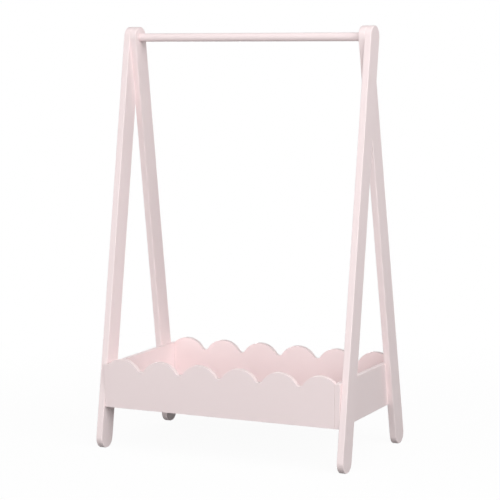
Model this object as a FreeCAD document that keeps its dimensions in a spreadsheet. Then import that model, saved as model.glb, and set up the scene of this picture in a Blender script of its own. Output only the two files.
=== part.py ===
# Kids clothing rack: two A-frames of flat legs, a round hanging rail and a low box with scalloped sides.
# Millimetres. X runs along the rail, the front faces -Y and Z is up, from the floor under the rail's middle.

import FreeCAD
import Part
import Sketcher
import math
import os
from types import SimpleNamespace

TURN_Z_TO_X = FreeCAD.Rotation(FreeCAD.Vector(0, 1, 0), 90)
LEAN_AXIS = FreeCAD.Vector(0, -1, 0)
SIDE_AXIS, UP_AXIS = range(-1, -3, -1)
ORIGIN = SIDE_AXIS
START, END, CENTRE = range(1, 4)
FLAT = 0.01

# Driving dimensions
SIZES = {
    # legs: flat planks with round ends, front ones outside and rear ones leaning in behind them at the top
    "overall_height": 1000.0,
    "leg_width": 51.0,
    "leg_thickness": 16.0,
    "foot_inset": 8.0,
    "foot_flat": 16.0,
    "leg_edge_round": 1.5,
    "housing_play": 0.2,
    # box: two plain end panels with scalloped front and back panels between them
    "box_width": 608.0,
    "box_depth": 342.0,
    "box_lift": 100.0,
    "panel_thickness": 12.0,
    "end_panel_height": 103.0,
    "panel_step": 0.5,
    "panel_edge_round": 1.2,
    "scallop_count": 6,
    "scallop_crop": 16.0,
    "scallop_gap": 2.0,
    "valley_radius": 11.0,
    "crest_rise": 15.0,
    # base board, held in grooves all round
    "base_thickness": 5.0,
    "base_lift": 10.0,
    "groove_depth": 5.0,
    "groove_play": 0.25,
    # hanging rail, seated in the rear legs
    "rail_diameter": 20.0,
    "rail_socket_depth": 8.0,
    "rail_play": 0.15,
    "rail_bevel": 0.8,
    # machine bolts and the threaded inserts that take them
    "bolt_diameter": 6.0,
    "bolt_play": 0.2,
    "bolt_head_diameter": 14.0,
    "bolt_head_height": 3.0,
    "bolt_head_bevel": 1.0,
    "bolt_end_room": 2.0,
    "bolt_drive_across": 4.6,
    "bolt_drive_depth": 2.0,
    "insert_diameter": 9.0,
    "insert_backing": 6.0,
    "insert_play": 0.1,
    "thread_play": 0.05,
    "bolt_lift": 30.0,
    "rail_insert_length": 25.0,
    "cover_thickness": 3.0,
    "cover_play": 0.1,
    # blind pegs between the end panels and the legs, above the bolts
    "peg_panel_depth": 8.0,
    "peg_leg_depth": 10.0,
    "peg_drop": 31.0,
    # box corners: one countersunk screw behind the leg and two glued dowels
    "screw_diameter": 4.5,
    "screw_head_diameter": 8.0,
    "screw_head_height": 2.5,
    "screw_length": 45.0,
    "screw_lift": 27.0,
    "screw_drive_across": 3.6,
    "screw_drive_depth": 2.0,
    "dowel_diameter": 6.0,
    "dowel_end_depth": 8.0,
    "dowel_length": 30.0,
    "dowel_bevel": 0.8,
    "dowel_play": 0.1,
    "low_dowel_lift": 50.0,
    "high_dowel_drop": 19.0,
}


class Formula:
    """A size worked out from the sheet: its value now, and the expression that keeps it so."""

    def __init__(self, value, text):
        self.value = value
        self.text = text

    def __add__(self, other):
        other = as_formula(other)
        return Formula(self.value + other.value, f"({self.text} + {other.text})")

    def __sub__(self, other):
        other = as_formula(other)
        return Formula(self.value - other.value, f"({self.text} - {other.text})")

    def __mul__(self, other):
        other = as_formula(other)
        return Formula(self.value * other.value, f"({self.text} * {other.text})")

    def __truediv__(self, other):
        other = as_formula(other)
        return Formula(self.value / other.value, f"({self.text} / {other.text})")

    def __neg__(self):
        return Formula(-self.value, f"(0 - {self.text})")


def as_formula(number):
    """A plain number as a formula."""
    if isinstance(number, Formula):
        return number
    return Formula(float(number), f"{number}")


def root(formula):
    """The square root of a formula."""
    return Formula(math.sqrt(formula.value), f"sqrt({formula.text})")


def whole(formula):
    """A formula rounded to a whole number."""
    return Formula(float(round(formula.value)), f"round({formula.text})")


def arctangent(formula):
    """The angle in degrees whose tangent is a formula."""
    return Formula(math.degrees(math.atan(formula.value)), f"atan({formula.text})")


def make_sheet(doc):
    """Fill the sheet with the driving dimensions and give back one formula for each."""
    sheet = doc.addObject("Spreadsheet::Sheet", "Sizes")
    for row, (alias, value) in enumerate(SIZES.items(), start=1):
        sheet.set(f"A{row}", alias)
        sheet.set(f"B{row}", f"{value}")
        sheet.setAlias(f"B{row}", alias)
    doc.recompute()
    formulas = {alias: Formula(value, f"Sizes.{alias}") for alias, value in SIZES.items()}
    return SimpleNamespace(**formulas)


def bind(item, **formulas):
    """Set properties of an object and tie them to the sheet."""
    for name, formula in formulas.items():
        formula = as_formula(formula)
        setattr(item, name, formula.value)
        item.setExpression(name, formula.text)


def place(item, spot, rotation=None):
    """Put an object at a spot given as three formulas, with an optional fixed turn."""
    spot = [as_formula(part) for part in spot]
    base = FreeCAD.Vector(*[part.value for part in spot])
    item.Placement = FreeCAD.Placement(base, rotation or FreeCAD.Rotation())
    for axis, part in zip("xyz", spot):
        item.setExpression(f"Placement.Base.{axis}", part.text)
    return item


def block(doc, name, size, corner):
    """A rectangular block with its lowest corner at a spot."""
    box = doc.addObject("Part::Box", name)
    bind(box, Length=size[0], Width=size[1], Height=size[2])
    return place(box, corner)


def rod(doc, name, radius, length, start):
    """A cylinder that runs along X from a start point."""
    cylinder = doc.addObject("Part::Cylinder", name)
    bind(cylinder, Radius=radius, Height=length)
    return place(cylinder, start, TURN_Z_TO_X)


def cut(doc, label, base, tools):
    """Take the tools away from a base."""
    tool = tools[0]
    if len(tools) > 1:
        tool = doc.addObject("Part::MultiFuse", f"{label}_tools")
        tool.Shapes = tools
    result = doc.addObject("Part::Cut", label)
    result.Base = base
    result.Tool = tool
    return result


def group(doc, label, members):
    """Several separate solids in one piece's node."""
    compound = doc.addObject("Part::Compound", label)
    compound.Links = members
    return compound


def mirrored(doc, label, source, normal):
    """The mirror image of a piece across the middle plane with this normal."""
    mirror = doc.addObject("Part::Mirroring", label)
    mirror.Source = source
    mirror.Base = FreeCAD.Vector(0, 0, 0)
    mirror.Normal = normal
    return mirror


def new_sketch(body, name, plane):
    """An empty sketch on one of a body's own origin planes."""
    support = next(item for item in body.Origin.OriginFeatures if item.Role == plane)
    sketch = body.newObject("Sketcher::SketchObject", name)
    sketch.AttachmentSupport = [(support, "")]
    sketch.MapMode = "FlatFace"
    return sketch


def dimension(sketch, name, kind, references, formula):
    """A driving dimension in a sketch, tied to the sheet."""
    formula = as_formula(formula)
    index = sketch.addConstraint(Sketcher.Constraint(kind, *references, formula.value))
    sketch.renameConstraint(index, name)
    sketch.setExpression(f"Constraints.{name}", formula.text)


def line(sketch, start, end):
    """A straight edge between two points of a sketch."""
    return sketch.addGeometry(Part.LineSegment(FreeCAD.Vector(*start, 0), FreeCAD.Vector(*end, 0)), False)


def arc(sketch, centre, radius, first, last):
    """An arc of a sketch, anticlockwise between two angles in radians."""
    circle = Part.Circle(FreeCAD.Vector(*centre, 0), FreeCAD.Vector(0, 0, 1), radius)
    return sketch.addGeometry(Part.ArcOfCircle(circle, first, last), False)


def edges_where(shape, wanted):
    """Names of the edges of a shape that pass a test."""
    return [f"Edge{number}" for number, edge in enumerate(shape.Edges, start=1) if wanted(edge)]


def round_edges(doc, body, radius, wanted):
    """Round over the edges of a body that pass a test."""
    doc.recompute()
    base = body.Tip
    fillet = body.newObject("PartDesign::Fillet", f"{body.Name}_round")
    fillet.Base = (base, edges_where(base.Shape, wanted))
    bind(fillet, Radius=radius)
    body.Tip = fillet
    doc.recompute()


def pad(body, sketch, thickness, reverse=False):
    """Give a sketch its thickness."""
    feature = body.newObject("PartDesign::Pad", f"{body.Name}_pad")
    feature.Profile = sketch
    feature.Reversed = reverse
    bind(feature, Length=thickness)
    return feature


def turned(doc, name, profile, start, turn=TURN_Z_TO_X):
    """A turned piece along X: its half profile as (radius, distance along the axis) points in order."""
    body = doc.addObject("PartDesign::Body", name)
    sketch = new_sketch(body, f"{name}_profile", "XZ_Plane")
    points = [(as_formula(radius), as_formula(station)) for radius, station in profile]
    count = len(points)
    for number, (radius, station) in enumerate(points):
        far_radius, far_station = points[(number + 1) % count]
        line(sketch, (radius.value, station.value), (far_radius.value, far_station.value))
    for number in range(count):
        following = (number + 1) % count
        sketch.addConstraint(Sketcher.Constraint("Coincident", number, END, following, START))
    for number, (radius, station) in enumerate(points):
        if radius.value == 0:
            sketch.addConstraint(Sketcher.Constraint("PointOnObject", number, START, UP_AXIS))
        else:
            dimension(sketch, f"radius_{number}", "DistanceX", (ORIGIN, START, number, START), radius)
        if station.value == 0:
            sketch.addConstraint(Sketcher.Constraint("PointOnObject", number, START, SIDE_AXIS))
        else:
            dimension(sketch, f"station_{number}", "DistanceY", (ORIGIN, START, number, START), station)
    revolution = body.newObject("PartDesign::Revolution", f"{name}_turn")
    revolution.Profile = sketch
    revolution.ReferenceAxis = (sketch, ["V_Axis"])
    revolution.Angle = 360
    return place(body, start, turn)


def dowel_profile(radius, length, bevel):
    """Half the section of a round dowel with bevelled ends."""
    shoulder = radius - bevel
    return [(0, 0), (shoulder, 0), (radius, bevel), (radius, length - bevel), (shoulder, length), (0, length)]


def plank(doc, name, size, toward, extra_width, thickness):
    """A round-ended plank in the YZ plane: its foot is in front (-1) or behind (1), its top in the middle."""
    body = doc.addObject("PartDesign::Body", name)
    sketch = new_sketch(body, f"{name}_outline", "YZ_Plane")
    radius = size.leg_width / 2 + extra_width
    top = (0, size.top_height.value)
    foot = (toward * size.foot_spread.value / 2, size.foot_height.value)
    slope = math.atan2(foot[0], top[1] - foot[1])
    side = (math.cos(slope) * radius.value, math.sin(slope) * radius.value)
    top_arc = arc(sketch, top, radius.value, slope, slope + math.pi)
    foot_arc = arc(sketch, foot, radius.value, slope + math.pi, slope + 2 * math.pi)
    front = line(sketch, (top[0] - side[0], top[1] - side[1]), (foot[0] - side[0], foot[1] - side[1]))
    rear = line(sketch, (foot[0] + side[0], foot[1] + side[1]), (top[0] + side[0], top[1] + side[1]))
    for first, second in ((top_arc, front), (front, foot_arc), (foot_arc, rear), (rear, top_arc)):
        sketch.addConstraint(Sketcher.Constraint("Tangent", first, END, second, START))
    sketch.addConstraint(Sketcher.Constraint("Equal", top_arc, foot_arc))
    sketch.addConstraint(Sketcher.Constraint("PointOnObject", top_arc, CENTRE, UP_AXIS))
    across = (ORIGIN, START, foot_arc, CENTRE) if toward > 0 else (foot_arc, CENTRE, ORIGIN, START)
    dimension(sketch, "round_end", "Radius", (top_arc,), radius)
    dimension(sketch, "top_height", "DistanceY", (ORIGIN, START, top_arc, CENTRE), size.top_height)
    dimension(sketch, "foot_height", "DistanceY", (ORIGIN, START, foot_arc, CENTRE), size.foot_height)
    dimension(sketch, "foot_reach", "DistanceX", across, size.foot_spread / 2)
    pad(body, sketch, thickness)
    return body


def leg_plank(doc, name, size, toward):
    """A leg before it is cut to its place, with its long edges eased."""
    body = plank(doc, name, size, toward, 0, size.leg_thickness)
    round_edges(doc, body, size.leg_edge_round, lambda edge: edge.BoundBox.XLength < FLAT)
    return body


def floor_block(doc, name, size):
    """What is planed off under one leg to leave its foot a flat to stand on."""
    room = size.leg_width + size.foot_spread
    corner = (size.half_width - size.leg_width, -room / 2, -size.leg_width)
    return block(doc, name, (size.leg_width * 2, room, size.leg_width), corner)


def fastener_holes(doc, name, size, toward):
    """Blind holes in a leg for its threaded insert and its peg."""
    insert_spot = (size.half_width, leg_offset(size, toward, size.bolt_height), size.bolt_height)
    insert_radius = size.insert_diameter / 2 + size.insert_play
    insert_depth = size.insert_length + size.insert_play
    peg_spot = (size.half_width, leg_offset(size, toward, size.peg_height), size.peg_height)
    peg_radius = size.dowel_diameter / 2 + size.dowel_play
    peg_depth = size.peg_leg_depth + size.dowel_play
    return [
        rod(doc, f"{name}_insert_hole", insert_radius, insert_depth, insert_spot),
        rod(doc, f"{name}_peg_hole", peg_radius, peg_depth, peg_spot),
    ]


def leg_offset(size, toward, height):
    """How far a leg's middle line stands in front of or behind the rail at a height."""
    reach = size.foot_spread / 2 * (size.top_height - height) / (size.top_height - size.foot_height)
    return reach * toward


def front_leg(doc, size):
    """The right front leg: it stands upright against the end panel and covers the rail bolt's head."""
    body = leg_plank(doc, "front_plank", size, -1)
    place(body, (size.half_width, 0, 0))
    bolt_radius = size.bolt_diameter / 2 + size.bolt_play
    recess = size.cover_thickness + size.bolt_head_height
    mouth = size.half_width + size.leg_thickness - recess
    tools = [
        floor_block(doc, "front_floor", size),
        rod(doc, "front_bolt_hole", bolt_radius, size.leg_thickness, (size.half_width, 0, size.top_height)),
        rod(doc, "front_cover_recess", size.cover_radius, recess, (mouth, 0, size.top_height)),
    ]
    tools += fastener_holes(doc, "front_leg", size, -1)
    return cut(doc, "front_leg_right", body, tools)


def rear_leg(doc, size):
    """The right rear leg: it leans in by its own thickness, housed on the end panel and on the front leg."""
    body = leg_plank(doc, "rear_plank", size, 1)
    place(body, (size.half_width, 0, 0), FreeCAD.Rotation(LEAN_AXIS, size.lean.value))
    body.setExpression("Placement.Rotation.Angle", size.lean.text)
    housing = plank(doc, "front_leg_housing", size, -1, size.housing_play, size.leg_thickness * 2)
    place(housing, (size.half_width, 0, 0))
    seat_bottom = size.box_lift - size.housing_play
    seat_corner = (size.half_width - size.panel_thickness, -size.box_depth / 2, seat_bottom)
    seat_size = (size.panel_thickness, size.box_depth, size.end_panel_height + size.housing_play * 2)
    bolt_radius = size.bolt_diameter / 2 + size.bolt_play
    socket_radius = size.rail_diameter / 2 + size.rail_play
    socket_start = size.rail_reach - size.leg_thickness
    tools = [
        floor_block(doc, "rear_floor", size),
        housing,
        block(doc, "panel_housing", seat_size, seat_corner),
        rod(doc, "rear_bolt_hole", bolt_radius, size.leg_thickness * 2, (socket_start, 0, size.top_height)),
        rod(doc, "rail_socket", socket_radius, size.leg_thickness, (socket_start, 0, size.top_height)),
    ]
    tools += fastener_holes(doc, "rear_leg", size, 1)
    return cut(doc, "rear_leg_right", body, tools)


def hanging_rail(doc, size):
    """The round rail between the A-frames, bored at both ends for threaded inserts."""
    profile = dowel_profile(size.rail_diameter / 2, size.rail_reach * 2, size.rail_bevel)
    dowel = turned(doc, "rail_dowel", profile, (-size.rail_reach, 0, size.top_height))
    bore = size.insert_diameter / 2 + size.insert_play
    depth = size.rail_insert_length + size.insert_play
    starts = (-size.rail_reach, size.rail_reach - depth)
    tools = [
        rod(doc, f"rail_bore_{number}", bore, depth, (start, 0, size.top_height))
        for number, start in enumerate(starts)
    ]
    return cut(doc, "hanging_rail", dowel, tools)


def end_panel(doc, size):
    """The right end panel: plain, with a stopped groove for the base board and holes for its fasteners."""
    body = doc.addObject("PartDesign::Body", "end_board")
    sketch = new_sketch(body, "end_board_outline", "YZ_Plane")
    reach = size.box_depth.value / 2
    rise = size.end_panel_height.value
    corners = [(-reach, 0), (reach, 0), (reach, rise), (-reach, rise)]
    edges = [line(sketch, *ends) for ends in zip(corners, corners[1:] + corners[:1])]
    for first, second in zip(edges, edges[1:] + edges[:1]):
        sketch.addConstraint(Sketcher.Constraint("Coincident", first, END, second, START))
    bottom, back, top, front = edges
    sketch.addConstraint(Sketcher.Constraint("PointOnObject", bottom, START, SIDE_AXIS))
    sketch.addConstraint(Sketcher.Constraint("Symmetric", bottom, START, bottom, END, UP_AXIS))
    sketch.addConstraint(Sketcher.Constraint("Vertical", back))
    sketch.addConstraint(Sketcher.Constraint("Vertical", front))
    sketch.addConstraint(Sketcher.Constraint("Horizontal", top))
    dimension(sketch, "depth", "DistanceX", (bottom, START, bottom, END), size.box_depth)
    dimension(sketch, "height", "DistanceY", (back, START, back, END), size.end_panel_height)
    pad(body, sketch, size.panel_thickness)
    round_edges(doc, body, size.panel_edge_round, lambda edge: edge.BoundBox.XLength < FLAT)
    place(body, (size.inner_half_width, 0, size.box_lift))
    groove = block(
        doc,
        "end_groove",
        (size.groove_depth, size.groove_reach * 2, size.base_thickness + size.groove_play * 2),
        (size.inner_half_width, -size.groove_reach, size.base_height - size.groove_play),
    )
    tools = [groove]
    bolt_radius = size.bolt_diameter / 2 + size.bolt_play
    dowel_radius = size.dowel_diameter / 2 + size.dowel_play
    dowel_depth = size.dowel_end_depth + size.dowel_play
    peg_depth = size.peg_panel_depth + size.dowel_play
    for toward in (-1, 1):
        side = "front" if toward < 0 else "rear"
        corner_offset = size.corner_line * toward
        spot = (size.inner_half_width, leg_offset(size, toward, size.bolt_height), size.bolt_height)
        tools.append(rod(doc, f"{side}_bolt_hole", bolt_radius, size.panel_thickness, spot))
        spot = (size.half_width - peg_depth, leg_offset(size, toward, size.peg_height), size.peg_height)
        tools.append(rod(doc, f"{side}_peg_hole", dowel_radius, peg_depth, spot))
        for number, height in enumerate(size.dowel_heights):
            spot = (size.inner_half_width, corner_offset, height)
            tools.append(rod(doc, f"{side}_dowel_hole_{number}", dowel_radius, dowel_depth, spot))
        spot = (size.half_width, corner_offset, size.screw_height)
        tools.append(screw_shape(doc, f"{side}_screw_hole", size, size.thread_play, spot))
    return cut(doc, "end_panel_right", body, tools)


def scallop_sketch(body, size):
    """The outline of a scalloped panel: round crests, with round valleys between them that run into both."""
    sketch = new_sketch(body, "scallop_outline", "XZ_Plane")
    count = int(size.scallops.value)
    half = size.inner_half_width.value
    pitch = size.scallop_pitch.value
    crest = size.scallop_radius.value
    valley = size.valley_radius.value
    centre_height = size.crest_centre
    rise = math.sqrt((crest + valley) ** 2 - (pitch / 2) ** 2)
    lean = math.atan2(rise, pitch / 2)
    outermost = (count - 1) / 2 * pitch
    end_angle = math.acos((half - outermost) / crest)
    end_height = centre_height.value + crest * math.sin(end_angle)
    crests = []
    for number in range(count):
        first = end_angle if number == count - 1 else lean
        last = math.pi - end_angle if number == 0 else math.pi - lean
        centre = (number * pitch - outermost, centre_height.value)
        crests.append(arc(sketch, centre, crest, first, last))
    valleys = []
    for number in range(count - 1):
        centre = ((number + 0.5) * pitch - outermost, centre_height.value + rise)
        valleys.append(arc(sketch, centre, valley, math.pi + lean, 2 * math.pi - lean))
    left = line(sketch, (-half, end_height), (-half, 0))
    bottom = line(sketch, (-half, 0), (half, 0))
    right = line(sketch, (half, 0), (half, end_height))
    for number, dip in enumerate(valleys):
        sketch.addConstraint(Sketcher.Constraint("Tangent", crests[number], START, dip, START))
        sketch.addConstraint(Sketcher.Constraint("Tangent", crests[number + 1], END, dip, END))
    outline = ((crests[0], END, left), (left, END, bottom), (bottom, END, right))
    for first, spot, second in outline:
        sketch.addConstraint(Sketcher.Constraint("Coincident", first, spot, second, START))
    sketch.addConstraint(Sketcher.Constraint("Coincident", right, END, crests[-1], START))
    for alike in (crests, valleys):
        for other in alike[1:]:
            sketch.addConstraint(Sketcher.Constraint("Equal", alike[0], other))
    for number, following in enumerate(crests[1:]):
        step = (crests[number], CENTRE, following, CENTRE)
        dimension(sketch, f"pitch_{number}", "DistanceX", step, size.scallop_pitch)
    for middle in crests[1:-1]:
        sketch.addConstraint(Sketcher.Constraint("Horizontal", crests[0], CENTRE, middle, CENTRE))
    sketch.addConstraint(Sketcher.Constraint("Symmetric", crests[0], CENTRE, crests[-1], CENTRE, UP_AXIS))
    sketch.addConstraint(Sketcher.Constraint("Symmetric", bottom, START, bottom, END, UP_AXIS))
    sketch.addConstraint(Sketcher.Constraint("PointOnObject", bottom, START, SIDE_AXIS))
    sketch.addConstraint(Sketcher.Constraint("Vertical", left))
    sketch.addConstraint(Sketcher.Constraint("Vertical", right))
    dimension(sketch, "crest_radius", "Radius", (crests[0],), size.scallop_radius)
    dimension(sketch, "valley_radius", "Radius", (valleys[0],), size.valley_radius)
    dimension(sketch, "crest_centre", "DistanceY", (ORIGIN, START, crests[0], CENTRE), centre_height)
    dimension(sketch, "width", "DistanceX", (bottom, START, bottom, END), size.inner_half_width * 2)
    return sketch


def end_holes(doc, name, size, radius, depth, height):
    """A pair of holes in the front panel's ends, at a height."""
    starts = {"left": -size.inner_half_width, "right": size.inner_half_width - depth}
    return [
        rod(doc, f"{side}_{name}", radius, depth, (start, -size.corner_line, height))
        for side, start in starts.items()
    ]


def front_panel(doc, size):
    """The scalloped front panel, between the end panels, with a groove for the base board."""
    body = doc.addObject("PartDesign::Body", "scallop_board")
    sketch = scallop_sketch(body, size)
    pad(body, sketch, size.panel_thickness, reverse=True)
    low = size.crest_centre.value
    round_edges(
        doc,
        body,
        size.panel_edge_round,
        lambda edge: edge.BoundBox.YLength < FLAT and edge.BoundBox.ZMin > low,
    )
    place(body, (0, -size.panel_face, size.box_lift))
    groove = block(
        doc,
        "front_groove",
        (size.inner_half_width * 2, size.groove_depth, size.base_thickness + size.groove_play * 2),
        (-size.inner_half_width, -size.groove_reach, size.base_height - size.groove_play),
    )
    tools = [groove]
    dowel_radius = size.dowel_diameter / 2 + size.dowel_play
    dowel_depth = size.dowel_length - size.dowel_end_depth + size.dowel_play
    for number, height in enumerate(size.dowel_heights):
        tools += end_holes(doc, f"dowel_socket_{number}", size, dowel_radius, dowel_depth, height)
    pilot_radius = size.screw_diameter / 2 + size.thread_play
    pilot_depth = size.screw_length - size.panel_thickness + size.thread_play
    tools += end_holes(doc, "screw_pilot", size, pilot_radius, pilot_depth, size.screw_height)
    return cut(doc, "front_panel", body, tools)


def base_board(doc, size):
    """The floor of the box, its edges in the grooves of all four panels."""
    reach_x = size.inner_half_width + size.groove_depth - size.groove_play
    reach_y = size.groove_reach - size.groove_play
    corner = (-reach_x, -reach_y, size.base_height)
    return block(doc, "base_board", (reach_x * 2, reach_y * 2, size.base_thickness), corner)


def hexagon(doc, name, across, depth, start):
    """A six-sided drive recess that runs along X from a start point."""
    prism = doc.addObject("Part::Prism", name)
    prism.Polygon = 6
    bind(prism, Circumradius=across / 2, Height=depth)
    return place(prism, start, TURN_Z_TO_X)


def bolt(doc, name, size, grip, start, inward):
    """A flat-headed bolt with a hexagon socket, from its head's outer face at the start."""
    head = size.bolt_head_diameter / 2
    neck = size.bolt_head_height
    shank = size.bolt_diameter / 2
    bevel = size.bolt_head_bevel
    length = neck + grip
    profile = [(0, 0), (head - bevel, 0), (head, bevel), (head, neck)]
    profile += [(shank, neck), (shank, length), (0, length)]
    body = turned(doc, f"{name}_blank", profile, (0, 0, 0))
    drive = hexagon(doc, f"{name}_drive", size.bolt_drive_across, size.bolt_drive_depth, (0, 0, 0))
    result = cut(doc, name, body, [drive])
    turn = FreeCAD.Rotation(FreeCAD.Vector(0, 0, 1), 180) if inward else FreeCAD.Rotation()
    return place(result, start, turn)


def sleeve(doc, name, size, length, start):
    """A threaded insert, drawn as a plain sleeve."""
    inner = size.bolt_diameter / 2 + size.thread_play
    outer = size.insert_diameter / 2
    return turned(doc, name, [(inner, 0), (outer, 0), (outer, length), (inner, length)], start)


def screw_shape(doc, name, size, play, start):
    """A countersunk screw, or with some play the hole for it, from its head at the start back along X."""
    head = size.screw_head_diameter / 2 + play
    shank = size.screw_diameter / 2 + play
    length = size.screw_length
    profile = [(0, 0), (head, 0), (shank, size.screw_head_height), (shank, length), (0, length)]
    return turned(doc, name, profile, start, TURN_Z_TO_X.inverted())


def leg_fasteners(doc, size):
    """What holds the right front leg to the end panel: a bolt in a threaded insert, and a blind peg."""
    grip = size.panel_thickness + size.insert_length - size.bolt_end_room
    offset = leg_offset(size, -1, size.bolt_height)
    head = (size.inner_half_width - size.bolt_head_height, offset, size.bolt_height)
    leg_bolt = bolt(doc, "leg_bolt_front_right", size, grip, head, False)
    insert_spot = (size.half_width, offset, size.bolt_height)
    insert = sleeve(doc, "leg_insert_front_right", size, size.insert_length, insert_spot)
    length = size.peg_panel_depth + size.peg_leg_depth
    profile = dowel_profile(size.dowel_diameter / 2, length, size.dowel_bevel)
    peg_spot = (size.half_width - size.peg_panel_depth, leg_offset(size, -1, size.peg_height), size.peg_height)
    peg = turned(doc, "leg_peg_front_right", profile, peg_spot)
    return leg_bolt, insert, peg


def corner_fasteners(doc, size):
    """The screw and the two dowels of the box's right front corner."""
    head = (size.half_width, -size.corner_line, size.screw_height)
    blank = screw_shape(doc, "corner_screw_blank", size, 0, head)
    drive_spot = (size.half_width - size.screw_drive_depth, -size.corner_line, size.screw_height)
    drive = hexagon(doc, "corner_screw_drive", size.screw_drive_across, size.screw_drive_depth, drive_spot)
    profile = dowel_profile(size.dowel_diameter / 2, size.dowel_length, size.dowel_bevel)
    start = size.inner_half_width + size.dowel_end_depth - size.dowel_length
    dowels = [
        turned(doc, f"dowel_{number}", profile, (start, -size.corner_line, height))
        for number, height in enumerate(size.dowel_heights)
    ]
    screw = cut(doc, "corner_screw_front_right", blank, [drive])
    return screw, group(doc, "corner_dowels_front_right", dowels)


def rail_fasteners(doc, size):
    """The bolt through both right legs into the rail's end, its insert and the flush cover over its head."""
    outer_face = size.half_width + size.leg_thickness
    head = (outer_face - size.cover_thickness, 0, size.top_height)
    through = head[0] - size.bolt_head_height - size.rail_reach
    grip = through + size.rail_insert_length - size.bolt_end_room
    rail_bolt = bolt(doc, "rail_bolt_right", size, grip, head, True)
    insert_start = (size.rail_reach - size.rail_insert_length, 0, size.top_height)
    insert = sleeve(doc, "rail_insert_right", size, size.rail_insert_length, insert_start)
    cover = turned(
        doc,
        "bolt_cover_right",
        [
            (0, 0),
            (size.cover_radius - size.cover_play, 0),
            (size.cover_radius - size.cover_play, size.cover_thickness),
            (0, size.cover_thickness),
        ],
        head,
    )
    return rail_bolt, insert, cover


def add_derived_sizes(size):
    """Sizes that several pieces share, worked out from the driving dimensions."""
    size.half_width = size.box_width / 2
    size.inner_half_width = size.half_width - size.panel_thickness
    size.top_height = size.overall_height - size.leg_width / 2
    size.foot_spread = size.box_depth - size.foot_inset * 2
    half_leg = size.leg_width / 2
    half_flat = size.foot_flat / 2
    size.foot_height = root(half_leg * half_leg - half_flat * half_flat)
    size.lean = arctangent(size.leg_thickness / size.overall_height)
    size.rail_reach = size.half_width - size.leg_thickness + size.rail_socket_depth
    size.cover_radius = size.bolt_head_diameter / 2 + size.bolt_play
    size.insert_length = size.leg_thickness - size.insert_backing
    box_top = size.box_lift + size.end_panel_height
    size.bolt_height = size.box_lift + size.bolt_lift
    size.peg_height = box_top - size.peg_drop
    size.dowel_heights = [size.box_lift + size.low_dowel_lift, box_top - size.high_dowel_drop]
    size.screw_height = size.box_lift + size.screw_lift
    size.base_height = size.box_lift + size.base_lift
    size.panel_face = size.box_depth / 2 + size.panel_step
    size.corner_line = size.panel_face - size.panel_thickness / 2
    size.groove_reach = size.panel_face - size.panel_thickness + size.groove_depth
    size.scallops = whole(size.scallop_count)
    size.scallop_pitch = (size.inner_half_width + size.scallop_crop) * 2 / size.scallops
    size.scallop_radius = (size.scallop_pitch - size.scallop_gap) / 2
    size.crest_centre = size.end_panel_height + size.crest_rise - size.scallop_radius


def build(doc):
    """Make every piece, and give back the pieces to keep with the number of solids in each."""
    size = make_sheet(doc)
    add_derived_sizes(size)
    side = FreeCAD.Vector(1, 0, 0)
    depth = FreeCAD.Vector(0, 1, 0)
    singles = [hanging_rail(doc, size), base_board(doc, size)]
    front = front_panel(doc, size)
    singles += [front, mirrored(doc, "back_panel", front, depth)]
    handed = [front_leg(doc, size), rear_leg(doc, size), end_panel(doc, size)]
    handed += rail_fasteners(doc, size)
    screw, dowels = corner_fasteners(doc, size)
    cornered = {screw: 1, dowels: 2}
    for item in leg_fasteners(doc, size):
        cornered[item] = 1
    pieces = {item: 1 for item in singles}
    for item in handed:
        pieces[item] = 1
        pieces[mirrored(doc, item.Name.replace("right", "left"), item, side)] = 1
    for item, solids in cornered.items():
        rear = mirrored(doc, item.Name.replace("front", "rear"), item, depth)
        for right in (item, rear):
            pieces[right] = solids
            pieces[mirrored(doc, right.Name.replace("right", "left"), right, side)] = solids
    doc.recompute()
    return pieces


def check(doc, pieces):
    """Stop if anything in the document failed or a piece isn't the solids it should be."""
    for item in doc.Objects:
        if "Invalid" in item.State or "Error" in item.State:
            raise RuntimeError(f"{item.Label} failed: {item.State}")
    for item, solids in pieces.items():
        shape = item.Shape
        if shape.isNull() or not shape.isValid() or len(shape.Solids) != solids:
            raise RuntimeError(f"{item.Label} has a bad shape")


def main():
    """Build the rack and write one file for each piece."""
    doc = FreeCAD.newDocument("kids_clothing_rack")
    pieces = build(doc)
    check(doc, pieces)
    os.makedirs("parts", exist_ok=True)
    for item in pieces:
        item.Shape.exportStep(f"parts/{item.Label}.step")
        print(f"{item.Label}: {item.Shape.Volume / 1000:.1f} cm3")


main()
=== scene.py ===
"""A kids clothing rack in pale pink satin paint: two A-frames of flat legs, a round rail and a scalloped box.

Metres, in the CAD model's frame: X runs along the rail, the front faces -Y and Z is up from the floor.
"""

import logging
import math
from dataclasses import dataclass, field
from enum import Enum
from typing import Any, Callable, Iterable, Sequence, Union

import bmesh
import bpy
from bmesh.types import BMEdge, BMVert
from bpy.types import Material, Node, NodeSocket, NodeTree, Object
from mathutils import Matrix, Vector

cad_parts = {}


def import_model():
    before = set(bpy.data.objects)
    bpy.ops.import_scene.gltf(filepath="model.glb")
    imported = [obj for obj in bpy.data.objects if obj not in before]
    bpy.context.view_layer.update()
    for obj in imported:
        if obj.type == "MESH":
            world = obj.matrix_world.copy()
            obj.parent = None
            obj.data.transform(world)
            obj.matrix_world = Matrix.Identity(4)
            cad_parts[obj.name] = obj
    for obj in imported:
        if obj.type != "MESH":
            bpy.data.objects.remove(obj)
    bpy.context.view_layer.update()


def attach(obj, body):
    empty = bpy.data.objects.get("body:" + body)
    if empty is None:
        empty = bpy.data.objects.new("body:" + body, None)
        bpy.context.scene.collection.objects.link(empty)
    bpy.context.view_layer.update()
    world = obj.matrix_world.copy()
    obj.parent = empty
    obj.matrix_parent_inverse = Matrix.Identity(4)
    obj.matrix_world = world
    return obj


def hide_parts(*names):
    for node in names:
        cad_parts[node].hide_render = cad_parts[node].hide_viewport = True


MM = 0.001
BODY = "root"
ACROSS = Vector((1, 0, 0))
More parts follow.
